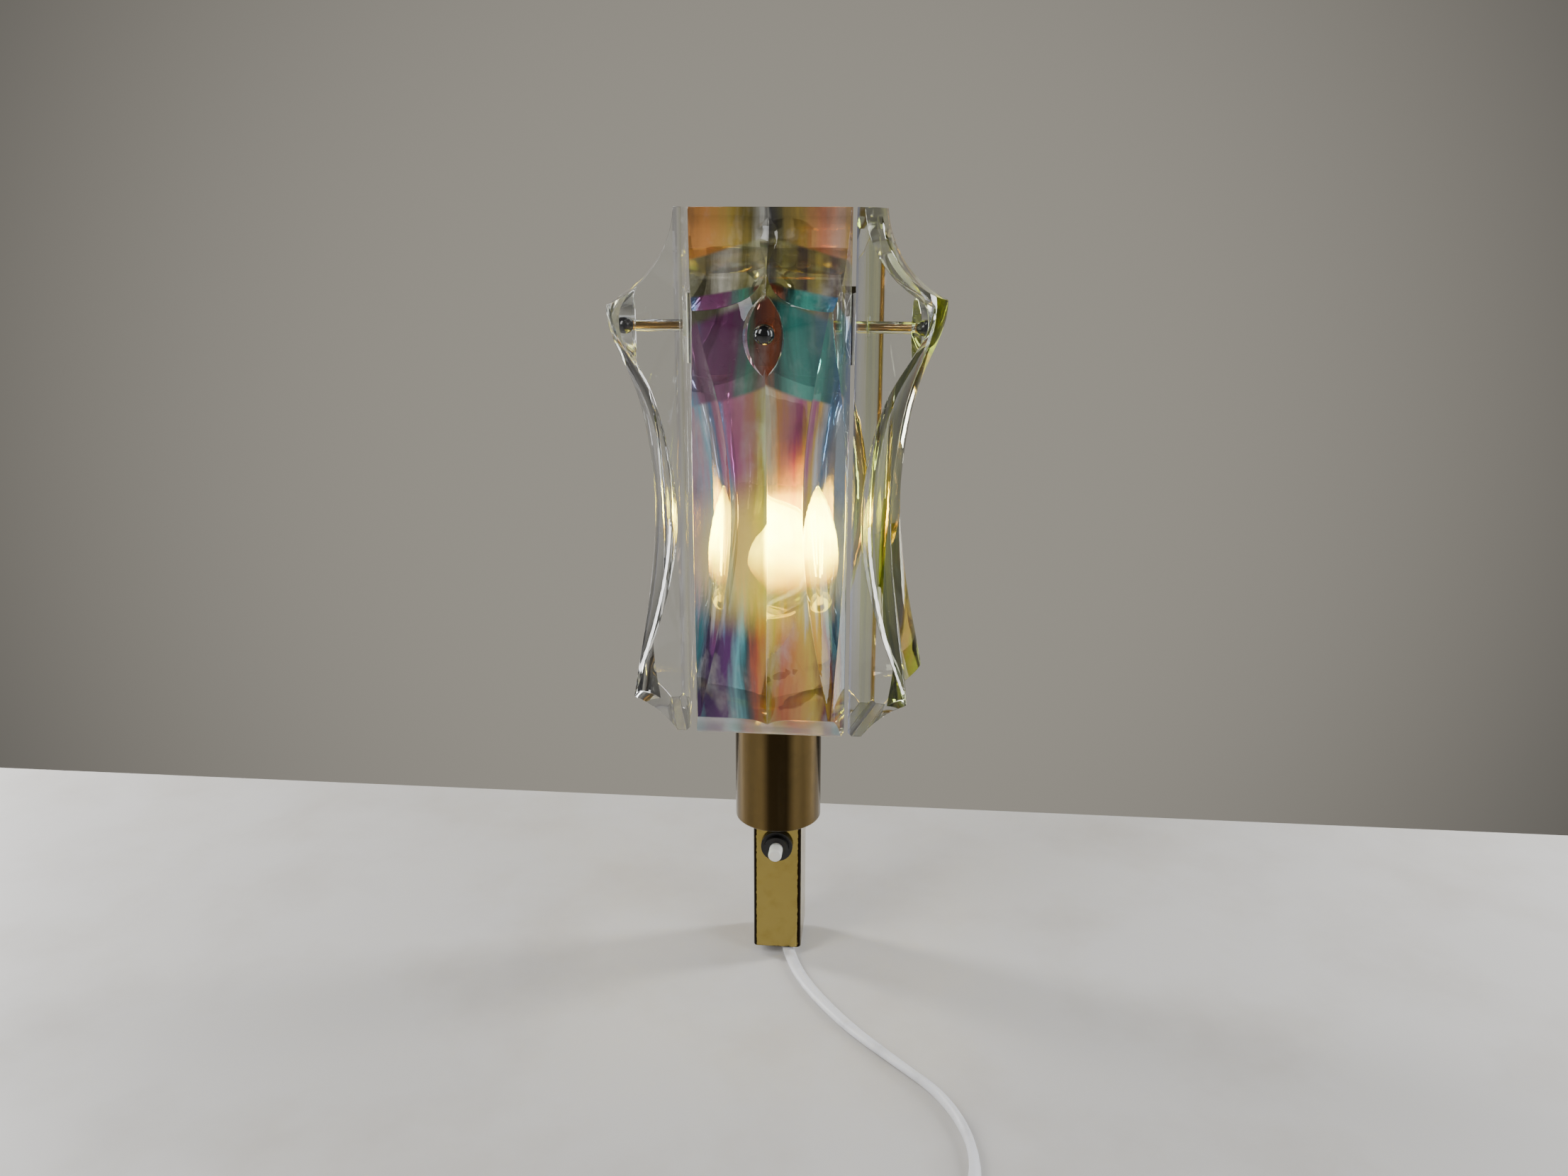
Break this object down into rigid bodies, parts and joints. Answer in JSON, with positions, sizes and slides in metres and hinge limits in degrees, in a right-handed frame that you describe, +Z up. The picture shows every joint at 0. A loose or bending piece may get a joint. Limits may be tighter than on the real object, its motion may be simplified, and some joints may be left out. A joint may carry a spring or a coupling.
{
  "type": "crystal wall sconce",
  "caption": "Wall light with cut crystal prisms hung on pins round a candle bulb, a brass cup and spine, a push switch and a mains lead.",
  "frame": {"origin": "middle of the keyhole's round hole, in the plane of the wall", "axes": "+Z up, +Y into the wall, +X to the right for someone facing the wall"},
  "size_m": [0.1511, 0.2788, 0.3057],
  "materials": {
    "crystal": "clear cut crystal glass, polished",
    "brass": "polished brass, lightly tarnished",
    "dark_brass": "brown lacquered brass",
    "steel": "plain zinc-plated steel",
    "black_gloss": "glossy black plastic",
    "bakelite": "black moulded resin",
    "white_plastic": "white plastic",
    "cord_white": "white flexible sleeving",
    "clear_glass": "thin clear bulb glass",
    "filament": "yellow light strips",
    "nickel": "nickel-plated cap"
  },
  "bodies": {
    "frame": {"pin_front": "brass", "pin_left": "brass", "pin_right": "brass", "ball_nut_front": "black_gloss", "ball_nut_left": "black_gloss", "ball_nut_right": "black_gloss", "pin_washers": "brass", "pin_nuts": "brass", "band": "dark_brass", "spine": "brass", "band_screws": "steel", "box_screws": "steel", "holder_screws": "steel", "switch_box": "brass", "cup": "dark_brass", "lampholder": "bakelite", "socket_shell": "brass", "socket_contact": "brass", "wire_bush": "white_plastic", "bulb_cap": "nickel", "bulb_collar": "white_plastic", "bulb_glass": "clear_glass", "bulb_stem": "clear_glass", "bulb_filaments": "filament", "switch_body": "black_gloss", "switch_nut": "black_gloss", "button_spring": "steel", "terminal_block": "white_plastic", "cord_grip": "bakelite", "leads": "cord_white", "cord_free": "cord_white", "cord_coil": "cord_white", "cord_tail": "cord_white", "plug_body": "white_plastic", "plug_pins": "nickel"},
    "crystal_front": {"crystal_front": "crystal"},
    "crystal_left": {"crystal_left": "crystal"},
    "crystal_right": {"crystal_right": "crystal"},
    "button": {"switch_button": "white_plastic"}
  },
  "joints": [
    {"name": "crystal_front_swing", "type": "hinge", "parent": "frame", "child": "crystal_front", "pos_m": [0, -0.056, -0.022], "axis": [0, -1, 0], "range_deg": [-0.6, 0.6]},
    {"name": "crystal_left_swing", "type": "hinge", "parent": "frame", "child": "crystal_left", "pos_m": [-0.0332, -0.0328, -0.022], "axis": [-0.9914, -0.1305, 0], "range_deg": [-1.5, 3]},
    {"name": "crystal_right_swing", "type": "hinge", "parent": "frame", "child": "crystal_right", "pos_m": [0.0332, -0.0328, -0.022], "axis": [0.9914, -0.1305, 0], "range_deg": [-3, 1.5]},
    {"name": "button_push", "type": "slide", "parent": "frame", "child": "button", "axis": [0, 1, 0], "range_m": [0, 0.0025], "stiffness_N_per_m": 700, "springref_m": -0.002, "deforming": ["button_spring"]}
  ]
}
